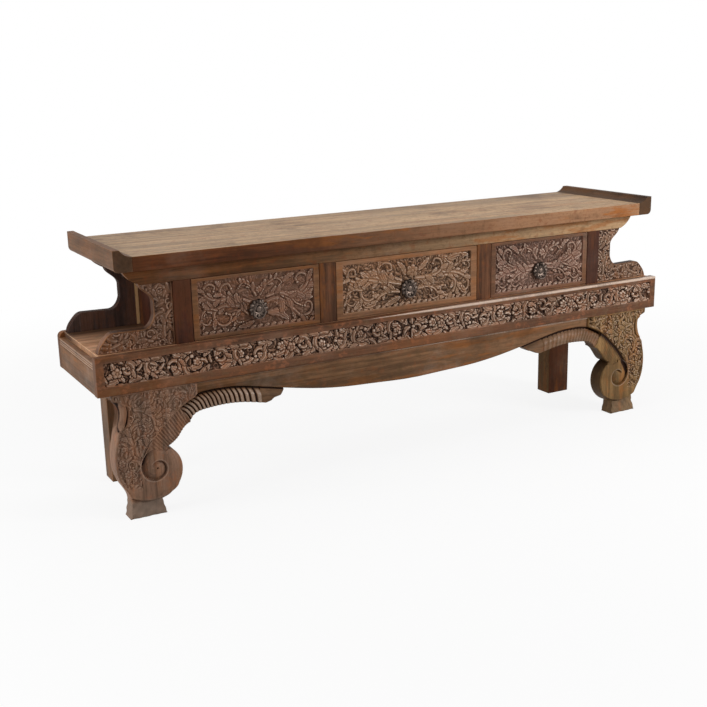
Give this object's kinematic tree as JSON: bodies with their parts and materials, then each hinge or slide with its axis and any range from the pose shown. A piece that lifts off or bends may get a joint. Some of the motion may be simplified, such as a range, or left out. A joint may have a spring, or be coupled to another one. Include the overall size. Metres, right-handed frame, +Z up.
{
  "type": "altar table",
  "caption": "Long low carved altar table with raised end flanges, a case of drawers with ring pulls, end shelves, a shaped apron and scroll legs.",
  "frame": {"origin": "centre of the footprint on the floor, at the bottom of the feet", "axes": "+X along the table to the right as seen from the front, the front faces -Y, +Z up"},
  "size_m": [1.8, 0.396, 0.688],
  "materials": {
    "top_teak": "worn satin wax on straight grained planks",
    "edge_teak": "dark waxed end flanges",
    "base_teak": "waxed teak boards",
    "carved_teak": "deep carved teak, dusty highlights over dark recesses",
    "case_teak": "dark red brown waxed teak",
    "leg_teak": "olive brown worn teak",
    "inner_teak": "plain unfinished teak",
    "pull_iron": "dark aged metal"
  },
  "bodies": {
    "table_frame": {"top_plank_front": "top_teak", "top_plank_rear": "top_teak", "end_flange_left": "edge_teak", "base_end_board_left": "base_teak", "cross_bearer_left": "inner_teak", "front_leg_left": "leg_teak", "apron_wing_left": "leg_teak", "rear_leg_left": "base_teak", "case_stile_left": "case_teak", "case_divider_left": "case_teak", "case_end_panel_left": "case_teak", "case_partition_left": "inner_teak", "front_bracket_left": "carved_teak", "rear_bracket_left": "case_teak", "end_flange_right": "edge_teak", "base_end_board_right": "base_teak", "cross_bearer_right": "inner_teak", "front_leg_right": "leg_teak", "apron_wing_right": "leg_teak", "rear_leg_right": "base_teak", "case_stile_right": "case_teak", "case_divider_right": "case_teak", "case_end_panel_right": "case_teak", "case_partition_right": "inner_teak", "front_bracket_right": "carved_teak", "rear_bracket_right": "case_teak", "base_front_board": "carved_teak", "base_rear_board": "base_teak", "shelf_board_front": "base_teak", "shelf_board_rear": "base_teak", "apron_board": "leg_teak", "case_back_panel": "case_teak", "top_rail_front": "case_teak", "top_rail_rear": "case_teak", "drawer_runners_left": "inner_teak", "drawer_runners_middle": "inner_teak", "drawer_runners_right": "inner_teak"},
    "drawer_left": {"drawer_front_left": "carved_teak", "drawer_side_left_left": "inner_teak", "drawer_side_left_right": "inner_teak", "drawer_back_left": "inner_teak", "drawer_bottom_left": "inner_teak", "pull_plate_left": "pull_iron"},
    "ring_left": {"pull_ring_left": "pull_iron"},
    "drawer_middle": {"drawer_front_middle": "carved_teak", "drawer_side_middle_left": "inner_teak", "drawer_side_middle_right": "inner_teak", "drawer_back_middle": "inner_teak", "drawer_bottom_middle": "inner_teak", "pull_plate_middle": "pull_iron"},
    "ring_middle": {"pull_ring_middle": "pull_iron"},
    "drawer_right": {"drawer_front_right": "carved_teak", "drawer_side_right_left": "inner_teak", "drawer_side_right_right": "inner_teak", "drawer_back_right": "inner_teak", "drawer_bottom_right": "inner_teak", "pull_plate_right": "pull_iron"},
    "ring_right": {"pull_ring_right": "pull_iron"}
  },
  "joints": [
    {"name": "drawer_slide_left", "type": "slide", "parent": "table_frame", "child": "drawer_left", "axis": [0, -1, 0], "range_m": [0, 0.19]},
    {"name": "ring_swing_left", "type": "hinge", "parent": "drawer_left", "child": "ring_left", "pos_m": [-0.458, -0.158, 0.51425], "axis": [-1, 0, 0], "range_deg": [0, 85]},
    {"name": "drawer_slide_middle", "type": "slide", "parent": "table_frame", "child": "drawer_middle", "axis": [0, -1, 0], "range_m": [0, 0.19]},
    {"name": "ring_swing_middle", "type": "hinge", "parent": "drawer_middle", "child": "ring_middle", "pos_m": [0, -0.158, 0.51425], "axis": [-1, 0, 0], "range_deg": [0, 85]},
    {"name": "drawer_slide_right", "type": "slide", "parent": "table_frame", "child": "drawer_right", "axis": [0, -1, 0], "range_m": [0, 0.19]},
    {"name": "ring_swing_right", "type": "hinge", "parent": "drawer_right", "child": "ring_right", "pos_m": [0.458, -0.158, 0.51425], "axis": [-1, 0, 0], "range_deg": [0, 85]}
  ]
}
